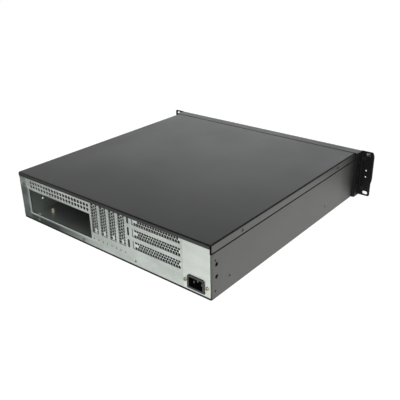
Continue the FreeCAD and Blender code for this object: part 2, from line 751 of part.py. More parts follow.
def make_front_panel():
    """Folded front panel with returns all round, vent slots and openings for the controls."""
    front_y = -case_depth
    rear_y = front_wall_y
    outer = box(-leg_inner, leg_inner, front_y, rear_y, 0, body_height)
    outer = outer.makeFillet(bend_radius + front_sheet,
                             [e for e in outer.Edges if e.BoundBox.YMax < front_y + near])
    inner = box(-leg_inner + front_sheet, leg_inner - front_sheet, front_y + front_sheet, rear_y + overshoot,
                front_sheet, body_height - front_sheet)
    inner = inner.makeFillet(bend_radius, [e for e in inner.Edges if e.BoundBox.YMax < front_y + 2 * front_sheet])
    tab = box(leg_inner - front_sheet - front_tab, leg_inner - front_sheet, rear_y - front_sheet, rear_y,
              ear_corner, body_height - ear_corner)
    panel = fused([outer.cut(inner), tab, mirrored(tab)])
    cuts = []
    for center in (-bay_center, bay_center):
        for index in range(front_slot_count):
            x = center + (index - (front_slot_count - 1) / 2) * front_slot_pitch
            cuts.append(box(x - front_slot_width / 2, x + front_slot_width / 2, front_y - overshoot,
                            front_y + 2 * front_sheet, front_slot_margin, body_height - front_slot_margin))
    through = front_y + 2 * front_sheet
    for x, diameter in ((power_button_x, power_button_diameter), (reset_button_x, reset_button_diameter)):
        cuts.append(rod(diameter / 2 + button_gap, (x, front_y - overshoot, button_row), (x, through, button_row)))
    for x in led_places:
        cuts.append(rod(led_diameter / 2 + button_gap, (x, front_y - overshoot, button_row), (x, through, button_row)))
    for x in usb_places:
        cuts.append(box(x - usb_width / 2 - button_gap, x + usb_width / 2 + button_gap, front_y - overshoot, through,
                        usb_row - usb_height / 2 - button_gap, usb_row + usb_height / 2 + button_gap))
    for z in ear_screw_heights:
        cuts.append(rod(ear_screw_diameter / 2 + screw_clearance, (-leg_inner - overshoot, ear_screw_y, z),
                        (leg_inner + overshoot, ear_screw_y, z)))
    return panel.cut(Part.makeCompound(cuts))


def make_rack_ear():
    """Right ear: a leg beside the front block and a flange with the rack slots."""
    plan = folded_face([(leg_inner, ear_rear_y + ear_leg_depth), (leg_inner, -case_depth),
                        (rack_width / 2, -case_depth)], ear_sheet, bend_radius)
    ear = along_z(plan, 0, body_height)
    corners = [e for e in ear.Edges
               if e.BoundBox.XMin > rack_width / 2 - near and e.BoundBox.YLength > ear_sheet / 2]
    ear = ear.makeFillet(ear_corner, corners)
    cuts = []
    half_run = (rack_slot_length - rack_slot_width) / 2
    for z in (rack_slot_margin, body_height - rack_slot_margin):
        x = rack_slot_spacing / 2
        for end in (x - half_run, x + half_run):
            cuts.append(rod(rack_slot_width / 2, (end, -case_depth - overshoot, z), (end, ear_rear_y + overshoot, z)))
        cuts.append(box(x - half_run, x + half_run, -case_depth - overshoot, ear_rear_y + overshoot,
                        z - rack_slot_width / 2, z + rack_slot_width / 2))
    for side in (-1, 1):
        z = body_height / 2 + side * ear_hole_rise / 2
        x = rack_width / 2 - ear_hole_inset
        cuts.append(rod(ear_hole_diameter / 2, (x, -case_depth - overshoot, z), (x, ear_rear_y + overshoot, z)))
    shank = handle_screw_diameter / 2 + screw_clearance
    sink = (handle_screw_head - handle_screw_diameter) / 2
    for z in handle_screw_heights():
        cuts.append(rod(shank, (handle_center_x, -case_depth - overshoot, z), (handle_center_x, ear_rear_y, z)))
        cuts.append(Part.makeCone(handle_screw_head / 2 + screw_clearance, shank, sink,
                                  Vector(handle_center_x, ear_rear_y, z), Vector(0, -1, 0)))
    sink = (ear_screw_head - ear_screw_diameter) / 2
    for z in ear_screw_heights:
        head, shank = ear_screw_head / 2 + screw_clearance, ear_screw_diameter / 2 + screw_clearance
        cuts.append(Part.makeCone(head, shank, sink, Vector(front_width / 2, ear_screw_y, z), Vector(-1, 0, 0)))
        cuts.append(rod(shank, (front_width / 2, ear_screw_y, z), (leg_inner - overshoot, ear_screw_y, z)))
    return ear.cut(Part.makeCompound(cuts))


def make_ear_screws():
    length = ear_sheet + front_sheet + overshoot
    screws = [flush_screw(ear_screw_head / 2, ear_screw_diameter / 2, length,
                          (front_width / 2, ear_screw_y, z), (-1, 0, 0)) for z in ear_screw_heights]
    return Part.makeCompound(screws + [mirrored(one) for one in screws])


def handle_screw_heights():
    rise = (handle_height - handle_bar) / 2
    return [body_height / 2 - rise, body_height / 2 + rise]


def make_handle():
    """Right handle: a bow with rounded corners and softened edges, in front of the ear."""
    front = -case_depth - handle_reach
    low, high = (body_height - handle_height) / 2, (body_height + handle_height) / 2
    bow = [(-case_depth, high), (front, high), (front, low), (-case_depth, low)]
    section = folded_bow(bow)
    handle = along_x(section, handle_outer_x - handle_width, handle_outer_x)
    sides = [e for e in handle.Edges if e.BoundBox.XLength < near and e.BoundBox.YMin < -case_depth - near]
    handle = handle.makeChamfer(handle_edge, sides)
    bores = [rod(handle_screw_diameter / 2 + screw_clearance, (handle_center_x, -case_depth + overshoot, z),
                 (handle_center_x, ear_rear_y - handle_screw_length - overshoot, z)) for z in handle_screw_heights()]
    return handle.cut(Part.makeCompound(bores))


def folded_bow(points):
    outer = [Vector(u, v, 0) for u, v in points]
    inner = offset_points(outer, handle_bar)
    edges = rounded_edges(outer, [handle_corner] * 2)
    edges += rounded_edges(inner, [handle_corner - handle_bar] * 2)
    edges += [Part.makeLine(outer[0], inner[0]), Part.makeLine(outer[-1], inner[-1])]
    return Part.Face(Part.Wire(Part.__sortEdges__(edges)))


def make_handle_screws():
    screws = [flush_screw(handle_screw_head / 2, handle_screw_diameter / 2, handle_screw_length,
                          (handle_center_x, ear_rear_y, z), (0, -1, 0)) for z in handle_screw_heights()]
    return Part.makeCompound(screws + [mirrored(one) for one in screws])


def make_button(x, diameter):
    """Button cap with its collar behind the panel and the stem that works the switch."""
    front_y = -case_depth
    cap_end = front_y + front_sheet + button_gap
    cap = rod(diameter / 2, (x, front_y - button_proud, button_row), (x, cap_end, button_row))
    front_rim = [e for e in cap.Edges if e.BoundBox.YMax < front_y - button_proud + near and len(e.Vertexes) == 1]
    cap = cap.makeChamfer(button_chamfer, front_rim)
    collar = rod(diameter / 2 + button_collar, (x, cap_end, button_row),
                 (x, cap_end + button_collar_depth, button_row))
    stem = rod(stem_diameter / 2, (x, cap_end + button_collar_depth, button_row),
               (x, board_front_y - button_travel - 2 * button_gap, button_row))
    return fused([cap, collar, stem])


def make_switches():
    """Switch bodies on the controls board; each takes the stem of its button."""
    bodies = []
    for x in (power_button_x, reset_button_x):
        body = box(x - switch_size / 2, x + switch_size / 2, board_front_y - switch_depth, board_front_y,
                   button_row - switch_size / 2, button_row + switch_size / 2)
        bore = rod(stem_diameter / 2 + button_gap, (x, board_front_y - switch_depth - overshoot, button_row),
                   (x, board_front_y - button_gap, button_row))
        bodies.append(body.cut(bore))
    return Part.makeCompound(bodies)


def make_led_lenses():
    lenses = []
    for x in led_places:
        tip = led_diameter / 2
        lens = rod(led_diameter / 2, (x, -case_depth, button_row), (x, board_front_y, button_row))
        dome = Part.makeSphere(tip, Vector(x, -case_depth, button_row))
        dome = dome.common(box(x - tip, x + tip, -case_depth - tip / 2, -case_depth,
                               button_row - tip, button_row + tip))
        lenses.append(fused([lens, dome]))
    return Part.makeCompound(lenses)


def make_usb_port(x):
    front = -case_depth - button_gap
    shell = box(x - usb_width / 2, x + usb_width / 2, front, board_front_y,
                usb_row - usb_height / 2, usb_row + usb_height / 2)
    hollow = box(x - usb_width / 2 + usb_wall, x + usb_width / 2 - usb_wall, front - overshoot,
                 board_front_y - 2 * usb_wall, usb_row - usb_height / 2 + usb_wall,
                 usb_row + usb_height / 2 - usb_wall)
    tongue_top = usb_row + usb_height / 2 - 2 * usb_wall
    tongue = box(x - usb_width / 2 + 2 * usb_wall, x + usb_width / 2 - 2 * usb_wall, front + 2 * usb_wall,
                 board_front_y - usb_wall, tongue_top - usb_tongue, tongue_top)
    return fused([shell.cut(hollow), tongue])


def board_spacer_places():
    inset = spacer_diameter
    xs = (board_center_x - board_width / 2 + inset, board_center_x + board_width / 2 - inset)
    zs = (board_bottom + inset, board_bottom + board_height - inset)
    return [(x, z) for x in xs for z in zs]


def make_controls_board():
    return box(board_center_x - board_width / 2, board_center_x + board_width / 2, board_front_y,
               board_front_y + board_sheet, board_bottom, board_bottom + board_height)


def make_board_spacers():
    return Part.makeCompound([
        rod(spacer_diameter / 2, (x, board_front_y + board_sheet, z), (x, front_wall_y, z))
        for x, z in board_spacer_places()])


def make_standoffs():
    columns = (left_standoff_inset, middle_standoff_inset, right_standoff_inset)
    rows = (rear_standoff_setback, middle_standoff_setback, front_standoff_setback)
    places = [(inset, setback) for inset in columns for setback in rows]
    places.append((corner_standoff_inset, corner_standoff_setback))
    radius = standoff_across / 2 / math.cos(math.pi / 6)
    posts = []
    for inset, setback in places:
        x, y = half_body - inset, -setback
        corners = [(x + radius * math.cos(math.radians(60 * k)), y + radius * math.sin(math.radians(60 * k)))
                   for k in range(6)]
        post = along_z(polygon_face(corners), tray_sheet, tray_sheet + standoff_height)
        posts.append(post.cut(rod(standoff_bore / 2, (x, y, tray_sheet + standoff_height / 4),
                                  (x, y, tray_sheet + standoff_height + overshoot))))
    return Part.makeCompound(posts)


def make_fan_wall():
    """Sheet with a foot, right up to the right side wall, with a duct hole per fan."""
    wall_y = -fan_wall_setback
    front = wall_y - fan_wall_foot
    top = body_height - fan_wall_drop
    section = folded_face([(front, tray_sheet), (wall_y, tray_sheet), (wall_y, top)], tray_sheet, bend_radius)
    wall = along_x(section, half_body - fan_wall_reach, strip_inner - relief)
    cuts = []
    for x in fan_places:
        cuts.append(rod(fan_duct_diameter / 2, (x, wall_y - fold, fan_center_height()),
                        (x, wall_y + overshoot, fan_center_height())))
        cuts += [rod(fan_hole_diameter / 2, (a, wall_y - fold, z), (a, wall_y + overshoot, z))
                 for a, z in fan_hole_places(x)]
    return wall.cut(Part.makeCompound(cuts))


def fan_center_height():
    return tray_sheet + fan_wall_lift + fan_size / 2


def fan_hole_places(x):
    half = fan_hole_spacing / 2
    return [(x + a * half, fan_center_height() + b * half) for a in (-1, 1) for b in (-1, 1)]


def make_fan_frame(x):
    """Square fan frame with a duct, corner holes, a motor plate on four struts and its bearing boss."""
    front, rear, z = -fan_wall_setback, fan_depth - fan_wall_setback, fan_center_height()
    half = fan_size / 2
    body = box(x - half, x + half, front, rear, z - half, z + half)
    body = body.makeFillet(fan_corner, [e for e in body.Edges if e.BoundBox.YLength > fan_depth / 2])
    duct = rod(fan_duct_diameter / 2, (x, front - overshoot, z), (x, rear + overshoot, z))
    corner_holes = [rod(fan_hole_diameter / 2, (a, front - overshoot, b), (a, rear + overshoot, b))
                    for a, b in fan_hole_places(x)]
    body = body.cut(Part.makeCompound([duct] + corner_holes))
    plate_y = rear - fan_plate
    struts = []
    for turn in (45, 135):
        bar = box(x - half, x + half, plate_y, rear, z - fan_strut_width / 2, z + fan_strut_width / 2)
        bar.rotate(Vector(x, 0, z), Vector(0, 1, 0), turn)
        struts.append(bar)
    hub = rod(fan_hub_diameter / 2, (x, plate_y, z), (x, rear, z))
    boss = rod(fan_boss_diameter / 2, (x, plate_y - fan_boss_length, z), (x, plate_y, z))
    frame = fused([body, hub, boss] + struts)
    bore = rod(fan_shaft_diameter / 2 + fan_shaft_gap, (x, plate_y - fan_boss_length - overshoot, z),
               (x, rear - fan_plate / 2, z))
    return frame.cut(bore)


def make_fan_rotor(x):
    """Hub cup with its shaft and pitched blades."""
    front, rear, z = -fan_wall_setback, fan_depth - fan_wall_setback, fan_center_height()
    hub_front = front + fan_front_gap
    hub_rear = rear - fan_plate - fan_blade_gap
    radius = fan_hub_diameter / 2
    cup = rod(radius, (x, hub_front, z), (x, hub_rear, z))
    hollow = rod(radius - fan_hub_wall, (x, hub_front + fan_hub_wall, z), (x, hub_rear + overshoot, z))
    shaft = rod(fan_shaft_diameter / 2, (x, hub_front, z), (x, rear - fan_plate / 2 - fan_blade_gap / 2, z))
    reach = fan_duct_diameter / 2 - fan_blade_gap
    middle = (hub_front + hub_rear) / 2
    room = rod(reach, (x, hub_front, z), (x, hub_rear, z)).cut(
        rod(radius - fan_hub_wall / 2, (x, hub_front - overshoot, z), (x, hub_rear + overshoot, z)))
    blades = []
    for index in range(fan_blade_count):
        blade = box(x, x + reach + overshoot, middle - fan_blade_sheet / 2, middle + fan_blade_sheet / 2,
                    z - reach / 2, z + reach / 2)
        blade.rotate(Vector(x, middle, z), Vector(1, 0, 0), fan_blade_pitch)
        blade.rotate(Vector(x, middle, z), Vector(0, 1, 0), index * 360 / fan_blade_count)
        blades.append(blade.common(room))
    return fused([cup.cut(hollow), shaft] + blades)


def make_drive_cage():
    """Bent hoop with feet for two drives, one above the other."""
    half = cage_inner_width / 2
    top = body_height - cage_drop
    left, right = bay_center - half, bay_center + half
    section = folded_face([(left - cage_foot, tray_sheet), (left, tray_sheet), (left, top), (right, top),
                           (right, tray_sheet), (right + cage_foot, tray_sheet)], tray_sheet, bend_radius)
    rear = -cage_setback
    hoop = along_y(section, rear - cage_depth, rear)
    holes = [rod(cage_hole_diameter / 2, (left - fold, rear - step, tray_sheet + height),
                 (right + fold, rear - step, tray_sheet + height))
             for height in cage_hole_heights for step in cage_hole_steps]
    return hoop.cut(Part.makeCompound(holes))


def make_psu_stop():
    """Angle on the floor that the front of the power supply rests against."""
    stop_y = -psu_stop_setback
    section = folded_face([(stop_y - psu_stop_foot, tray_sheet), (stop_y, tray_sheet),
                           (stop_y, tray_sheet + psu_stop_height)], tray_sheet, bend_radius)
    start = relief - strip_inner
    return along_x(section, start, start + psu_stop_length)


low_cover = slot_cover(low_slot_top - low_slot_bottom)
full_cover = slot_cover(full_slot_length)
ear = make_rack_ear()
handle = make_handle()
pieces = {
    "base_tray": make_base_tray(),
    "front_bulkhead": make_front_bulkhead(),
    "top_cover": make_top_cover(),
    "cover_screws": make_cover_screws(),
    "rear_panel": make_rear_panel(),
    "panel_screws": make_panel_screws(),
    "slot_screws": Part.makeCompound([in_low_slot(tab_screw(), index) for index in range(low_slot_count)]
                                     + [in_full_slot(tab_screw(), index) for index in range(full_slot_count)]),
    "slot_shelf": make_low_slot_shelf(),
    "riser_bracket": in_full_slot(cover_shelf(full_slot_count, False)),
    "tongue_rail": make_tongue_rail(),
    "inlet_housing": make_inlet_housing(),
    "inlet_pins": make_inlet_pins(),
    "inlet_screws": make_inlet_screws(),
    "front_panel": make_front_panel(),
    "rack_ear_right": ear,
    "rack_ear_left": mirrored(ear),
    "ear_screws": make_ear_screws(),
    "handle_right": handle,
    "handle_left": mirrored(handle),
    "handle_screws": make_handle_screws(),
    "power_button": make_button(power_button_x, power_button_diameter),
    "reset_button": make_button(reset_button_x, reset_button_diameter),
    "switches": make_switches(),
    "led_lenses": make_led_lenses(),
    "usb_port_left": make_usb_port(usb_places[0]),
    "usb_port_right": make_usb_port(usb_places[1]),
    "controls_board": make_controls_board(),
    "board_spacers": make_board_spacers(),
    "board_standoffs": make_standoffs(),
    "fan_wall": make_fan_wall(),
    "fan_frame_left": make_fan_frame(fan_places[0]),
    "fan_frame_right": make_fan_frame(fan_places[1]),
    "fan_rotor_left": make_fan_rotor(fan_places[0]),
    "fan_rotor_right": make_fan_rotor(fan_places[1]),
    "drive_cage": make_drive_cage(),
    "psu_stop": make_psu_stop(),
}
for index in range(low_slot_count):
    pieces["upright_slot_cover_" + str(index + 1)] = in_low_slot(low_cover, index)
for index in range(full_slot_count):
    pieces["lying_slot_cover_" + str(index + 1)] = in_full_slot(full_cover, index)

os.makedirs("parts", exist_ok=True)
for name, shape in pieces.items():
    shape.translate(Vector(0, origin_shift, 0))
    shape.exportStep("parts/" + name + ".step")
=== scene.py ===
import json
import math

import bmesh
import bpy
from mathutils import Matrix, Vector


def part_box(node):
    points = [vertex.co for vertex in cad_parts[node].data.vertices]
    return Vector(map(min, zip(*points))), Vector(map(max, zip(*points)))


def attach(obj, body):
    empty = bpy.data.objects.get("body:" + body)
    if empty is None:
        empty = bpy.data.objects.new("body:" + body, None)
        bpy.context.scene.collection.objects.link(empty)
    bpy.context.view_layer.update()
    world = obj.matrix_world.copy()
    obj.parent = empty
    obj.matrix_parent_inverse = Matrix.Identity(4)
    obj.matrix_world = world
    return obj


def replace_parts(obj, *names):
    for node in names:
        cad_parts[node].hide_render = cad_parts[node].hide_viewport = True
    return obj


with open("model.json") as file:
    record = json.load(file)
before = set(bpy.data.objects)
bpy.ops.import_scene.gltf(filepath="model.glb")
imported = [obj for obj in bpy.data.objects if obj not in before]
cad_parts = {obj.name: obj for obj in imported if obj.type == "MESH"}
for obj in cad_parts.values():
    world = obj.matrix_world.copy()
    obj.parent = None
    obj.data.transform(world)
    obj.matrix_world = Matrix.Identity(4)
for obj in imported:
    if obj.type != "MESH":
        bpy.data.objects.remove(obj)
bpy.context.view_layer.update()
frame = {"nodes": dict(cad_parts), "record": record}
nodes = frame["nodes"]
# Outer face of the rear panel, behind its raised rim; depths are measured from it.
rimProud = 0.0006
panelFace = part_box("rear_panel")[1].y - rimProud
print("frame loaded")


# Materials. Colours are in linear light, and places in metres.

def newMaterial(name):
    material = bpy.data.materials.new(name)
    material.use_nodes = True
    tree = material.node_tree
    tree.nodes.clear()
    output = tree.nodes.new("ShaderNodeOutputMaterial")
    shader = tree.nodes.new("ShaderNodeBsdfPrincipled")
    tree.links.new(shader.outputs[0], output.inputs[0])
    return material, tree, shader


def place(tree, scale):
    # Object coordinates, stretched.
    coordinates = tree.nodes.new("ShaderNodeTexCoord")
    mapping = tree.nodes.new("ShaderNodeMapping")
    mapping.inputs["Scale"].default_value = scale
    tree.links.new(coordinates.outputs["Object"], mapping.inputs[0])
    return mapping.outputs[0]


def noise(tree, vector, scale, detail=3.0, rough=0.5):
    node = tree.nodes.new("ShaderNodeTexNoise")
    node.inputs["Scale"].default_value = scale
    node.inputs["Detail"].default_value = detail
    node.inputs["Roughness"].default_value = rough
    tree.links.new(vector, node.inputs["Vector"])
    return node.outputs[0]


def spread(tree, value, low, high, start=0.35, end=0.65):
    # A noise value, spread between two numbers.
    node = tree.nodes.new("ShaderNodeMapRange")
    node.inputs["From Min"].default_value = start
    node.inputs["From Max"].default_value = end
    node.inputs["To Min"].default_value = low
    node.inputs["To Max"].default_value = high
    tree.links.new(value, node.inputs["Value"])
    return node.outputs[0]


def blendColors(tree, factor, first, second):
    node = tree.nodes.new("ShaderNodeMix")
    node.data_type = "RGBA"
    for socket, color in ((node.inputs[6], first), (node.inputs[7], second)):
        if hasattr(color, "links"):
            tree.links.new(color, socket)
        else:
            socket.default_value = (*color, 1)
    tree.links.new(factor, node.inputs[0])
    return node.outputs[2]


def numberNode(tree, number):
    node = tree.nodes.new("ShaderNodeValue")
    node.outputs[0].default_value = number
    return node.outputs[0]


def compare(tree, value, limit, above):
    node = tree.nodes.new("ShaderNodeMath")
    node.operation = "GREATER_THAN" if above else "LESS_THAN"
    tree.links.new(value, node.inputs[0])
    node.inputs[1].default_value = limit
    return node.outputs[0]


def combine(tree, kind, first, second=None):
    node = tree.nodes.new("ShaderNodeMath")
    node.operation = kind
    tree.links.new(first, node.inputs[0])
    if second is not None:
        tree.links.new(second, node.inputs[1])
    return node.outputs[0]


def zoneMask(tree, zone):
    # 1 inside a box given as low, high and perhaps softness for x, |x| (as "wide"), y and z, in metres.
    split = tree.nodes.new("ShaderNodeSeparateXYZ")
    tree.links.new(place(tree, (1, 1, 1)), split.inputs[0])
    sides = {"x": split.outputs[0], "y": split.outputs[1], "z": split.outputs[2],
             "wide": combine(tree, "ABSOLUTE", split.outputs[0])}
    mask = None
    for axis, (low, high, *soft) in zone.items():
        for limit, above in ((low, True), (high, False)):
            if limit is None:
                continue
            if soft:
                start, end = limit - soft[0], limit + soft[0]
                test = spread(tree, sides[axis], 0 if above else 1, 1 if above else 0, start, end)
            else:
                test = compare(tree, sides[axis], limit, above)
            mask = test if mask is None else combine(tree, "MULTIPLY", mask, test)
    return mask


# Detail of both noises and their roughness, height of the bumps in metres, and samples for soft edges.
finishStyle = {"broadDetail": 4.0, "fineDetail": 2.0, "noiseRough": 0.6, "bumpHeight": 0.0001,
               "coatRough": 0.3, "edgeSamples": 4}


def makeFinish(name, look):
    # Broad mottling, a fine grain in colour, roughness and bump, and softened edges. A zone's "share"
    # is how far its colours cover the look's own, "metal" is metal there and none elsewhere, and
    # "matt" adds roughness.
    material, tree, shader = newMaterial(name)
    broad = noise(tree, place(tree, look.get("stretch", (1, 1, 1))), look["mottle"],
                  finishStyle["broadDetail"], finishStyle["noiseRough"])
    fine = noise(tree, place(tree, look.get("grainStretch", (1, 1, 1))), look["grain"],
                 finishStyle["fineDetail"], finishStyle["noiseRough"])
    base = blendColors(tree, spread(tree, broad, 0, 1), look["dark"], look["light"])
    bare = None
    rough = spread(tree, broad, look["rough"] - look["roughRange"], look["rough"])
    for zone in look.get("zones", []):
        mask = zoneMask(tree, zone["box"])
        if zone.get("share"):
            mask = combine(tree, "MULTIPLY", mask, numberNode(tree, zone["share"]))
        other = blendColors(tree, spread(tree, broad, 0, 1), zone["dark"], zone["light"])
        base = blendColors(tree, mask, base, other)
        if zone.get("metal"):
            bare = combine(tree, "MULTIPLY", mask, numberNode(tree, zone["metal"]))
        if zone.get("matt"):
            matt = combine(tree, "MULTIPLY", mask, numberNode(tree, zone["matt"]))
            rough = combine(tree, "ADD", rough, matt)
    speck = spread(tree, fine, 1 - look["speckle"], 1 + look["speckle"])
    scale = tree.nodes.new("ShaderNodeVectorMath")
    scale.operation = "SCALE"
    tree.links.new(base, scale.inputs[0])
    tree.links.new(speck, scale.inputs["Scale"])
    tree.links.new(scale.outputs[0], shader.inputs["Base Color"])
    rough = combine(tree, "ADD", rough, spread(tree, fine, 0, look["roughRange"]))
    tree.links.new(rough, shader.inputs["Roughness"])
    shader.inputs["Metallic"].default_value = look["metal"]
    if bare is not None:
        tree.links.new(bare, shader.inputs["Metallic"])
    shader.inputs["Specular IOR Level"].default_value = look.get("specular", 0.5)
    shader.inputs["Coat Weight"].default_value = look.get("coat", 0)
    shader.inputs["Coat Roughness"].default_value = finishStyle["coatRough"]
    bump = tree.nodes.new("ShaderNodeBump")
    bump.inputs["Strength"].default_value = look["bump"]
    bump.inputs["Distance"].default_value = finishStyle["bumpHeight"]
    tree.links.new(fine, bump.inputs["Height"])
    if look.get("edge", 0):
        soft = tree.nodes.new("ShaderNodeBevel")
        soft.samples = finishStyle["edgeSamples"]
        soft.inputs["Radius"].default_value = look["edge"]
        tree.links.new(soft.outputs[0], bump.inputs["Normal"])
    tree.links.new(bump.outputs[0], shader.inputs["Normal"])
    return material


# Inner faces of the sheet, left as bare zinc, painted darker further in as painted shade deep in the case;
# the step under the cover, in shadow.
bareInside = {"box": {"wide": (None, 0.2140), "y": (None, panelFace - 0.0021), "z": (0.0006, None)},
              "dark": (0.38, 0.42, 0.40), "light": (0.50, 0.54, 0.52), "metal": 0.6}
paintedShadeDeepInside = {"box": {**bareInside["box"], "y": (None, panelFace - 0.058, 0.035)},
              "dark": (0.18, 0.20, 0.19), "light": (0.26, 0.28, 0.27)}
shadowStep = {"box": {"wide": (0.2110, 0.2149), "z": (0.0728, 0.0770)}, "dark": (0.002, 0.002, 0.002),
              "light": (0.003, 0.003, 0.003)}
# Painted shade and reflection of the ears: the sides are painted darker beside them.
paintedShadeBesideEars = {"box": {"wide": (0.2146, None), "y": (None, panelFace - 0.4000, 0.028)}, "share": 0.97,
              "dark": (0.004, 0.004, 0.004), "light": (0.006, 0.006, 0.006)}
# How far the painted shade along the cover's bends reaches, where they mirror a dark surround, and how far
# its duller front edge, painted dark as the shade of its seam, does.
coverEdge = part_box("top_cover")[1]
paintedBendShade = {"reach": 0.0024, "drop": 0.0016, "front": 0.0028}
paintedBendShadeHeights = (coverEdge.z - paintedBendShade["drop"], None)
coverLook = {"dark": (0.014, 0.014, 0.014), "light": (0.018, 0.018, 0.018), "mottle": 9, "grain": 2600,
             "speckle": 0.16, "rough": 0.40, "roughRange": 0.05, "metal": 0.0, "bump": 0.35, "edge": 0.0006}
caseLook = {**coverLook, "dark": (0.078, 0.075, 0.070), "light": (0.094, 0.091, 0.085), "rough": 0.42}
# Painted light: the cover's side flanges take the sides' lighter tone, lighter than the top of the same
# sheet.
paintedLightCoverSide = {"box": {"wide": (0.2146, None)}, "dark": caseLook["dark"], "light": caseLook["light"]}
paintedShadeBendRear = {"box": {"y": (coverEdge.y - paintedBendShade["reach"], None), "z": paintedBendShadeHeights},
            "dark": (0.0005, 0.0005, 0.0005), "light": (0.001, 0.001, 0.001)}
paintedShadeBendSide = {**paintedShadeBendRear, "box": {"wide": (coverEdge.x - paintedBendShade["reach"], None), "z": paintedBendShadeHeights}}
paintedShadeBendFront = {**paintedShadeBendRear, "box": {"y": (None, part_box("top_cover")[0].y + paintedBendShade["front"]), "z": paintedBendShadeHeights},
             "matt": 0.4}
coverLook["zones"] = [paintedLightCoverSide, paintedShadeBesideEars, paintedShadeBendRear, paintedShadeBendSide, paintedShadeBendFront]
trayLook = {**caseLook, "zones": [bareInside, paintedShadeDeepInside, paintedShadeBesideEars, shadowStep]}
panelLook = {"dark": (0.50, 0.53, 0.50), "light": (0.63, 0.66, 0.63), "mottle": 22, "stretch": (1, 1, 2.5),
             "grain": 900, "grainStretch": (0.25, 1, 2), "speckle": 0.06, "rough": 0.42, "roughRange": 0.10,
             "metal": 0.85, "bump": 0.12, "edge": 0.0004}
# Painted reflection: the zinc is painted darker at its foot and its far end, where the sheet is pressed
# back round a bright rim and mirrors a darker surround.
paintedReflectionFoot = {"box": {"x": (0.060, None, 0.060), "z": (None, 0.0140, 0.0012)}, "share": 0.97,
            "dark": (0.030, 0.042, 0.042), "light": (0.052, 0.068, 0.066)}
paintedReflectionSide = {"box": {"x": (0.1945, None, 0.0015), "z": (None, 0.0640, 0.0015)}, "share": 0.72,
            "dark": (0.10, 0.125, 0.115), "light": (0.16, 0.19, 0.18)}
paintedReflectionCorner = {"box": {"x": (0.1920, None, 0.004)}, "share": 0.45, "dark": (0.20, 0.24, 0.22),
              "light": (0.28, 0.32, 0.30)}
# The zinc is lighter from the seam at x -0.1632 to the inlet end.
lighterInletEnd = {"box": {"x": (None, -0.1632)}, "dark": (0.61, 0.64, 0.60),
              "light": (0.69, 0.72, 0.68)}
# Cut edges inside the openings and vents are painted dark: painted shade inside the holes.
paintedShadeCutEdge = {"box": {"y": (panelFace - 0.00095, panelFace - 0.00006), "z": (None, 0.0640)},
           "dark": (0.02, 0.022, 0.02), "light": (0.03, 0.032, 0.03)}
paintedShadeCutVent = {**paintedShadeCutEdge, "box": {"y": paintedShadeCutEdge["box"]["y"], "x": (None, 0.125, 0.045), "z": (0.0640, None)}}
# Painted light: the vent band above the opening is painted lighter zinc.
paintedLightVentStrip = {"box": {"x": (0.030, 0.1960, 0.002), "z": (0.0635, None)}, "dark": (0.66, 0.69, 0.66),
             "light": (0.76, 0.78, 0.76)}
# The panel's lowest strip is painted near black: partly the tray's black edge, partly painted shade along
# the foot.
blackEdgeAndShade = {"box": {"z": (None, 0.0038)}, "dark": (0.004, 0.004, 0.004),
           "light": (0.008, 0.008, 0.008)}
seamLine = {"box": {"x": (-0.1640, -0.1632), "z": (None, 0.0800)}, "share": 0.45,
            "dark": (0.30, 0.33, 0.30), "light": (0.36, 0.38, 0.36)}
panelLook["zones"] = [paintedReflectionFoot, paintedReflectionCorner, paintedReflectionSide, lighterInletEnd, seamLine, paintedLightVentStrip, paintedShadeCutEdge, paintedShadeCutVent,
                      blackEdgeAndShade]
slotLook = {**panelLook, "dark": (0.68, 0.71, 0.67), "light": (0.80, 0.82, 0.79), "mottle": 60,
            "rough": 0.38, "zones": [{**paintedShadeCutEdge, "box": {"y": (panelFace - 0.00175, panelFace - 0.00104)}}]}
innerLook = {**panelLook, "dark": (0.42, 0.45, 0.42), "light": (0.55, 0.58, 0.55), "zones": []}
screwLook = {"dark": (0.15, 0.16, 0.15), "light": (0.26, 0.27, 0.25), "mottle": 700, "grain": 5000,
             "speckle": 0.1, "rough": 0.36, "roughRange": 0.08, "metal": 0.9, "bump": 0.1, "edge": 0.0002}
blackScrewLook = {**screwLook, "dark": (0.010, 0.010, 0.010), "light": (0.020, 0.020, 0.020), "metal": 0.3}
brassScrewLook = {**screwLook, "dark": (0.26, 0.22, 0.12), "light": (0.42, 0.37, 0.24)}
inletLook = {"dark": (0.016, 0.016, 0.017), "light": (0.026, 0.026, 0.028), "mottle": 120, "grain": 4200,
             "speckle": 0.15, "rough": 0.40, "roughRange": 0.08, "metal": 0.0, "bump": 0.2, "edge": 0.0003}
# The inlet is painted darkest inside its socket: painted shade in the recess.
inletLook["zones"] = [{"box": {"y": (None, panelFace + 0.0010)}, "dark": (0.002, 0.002, 0.002),
                      "light": (0.004, 0.004, 0.004)}]
pinLook = {**screwLook, "dark": (0.10, 0.10, 0.095), "light": (0.18, 0.18, 0.17)}
# Painted shade and reflection of the ears: the front block's sides are painted near black.
paintedShadeBlockSide = {"box": {"wide": (0.2120, None)}, "dark": (0.004, 0.004, 0.004),
             "light": (0.006, 0.006, 0.006)}
frontLook = {**caseLook, "dark": (0.026, 0.029, 0.031), "light": (0.034, 0.038, 0.041),
             "zones": [paintedShadeBlockSide]}
earLook = {**caseLook, "dark": (0.003, 0.003, 0.003), "light": (0.005, 0.005, 0.005), "rough": 0.50,
           "specular": 0.2}
handleLook = {**earLook, "dark": (0.006, 0.007, 0.008), "light": (0.010, 0.012, 0.013), "rough": 0.34,
              "mottle": 80, "grain": 3600}
buttonLook = {**inletLook, "rough": 0.28, "zones": []}
lensLook = {"dark": (0.62, 0.68, 0.66), "light": (0.74, 0.78, 0.76), "mottle": 400, "grain": 3000,
            "speckle": 0.05, "rough": 0.16, "roughRange": 0.05, "metal": 0.0, "bump": 0.05, "coat": 0.4}
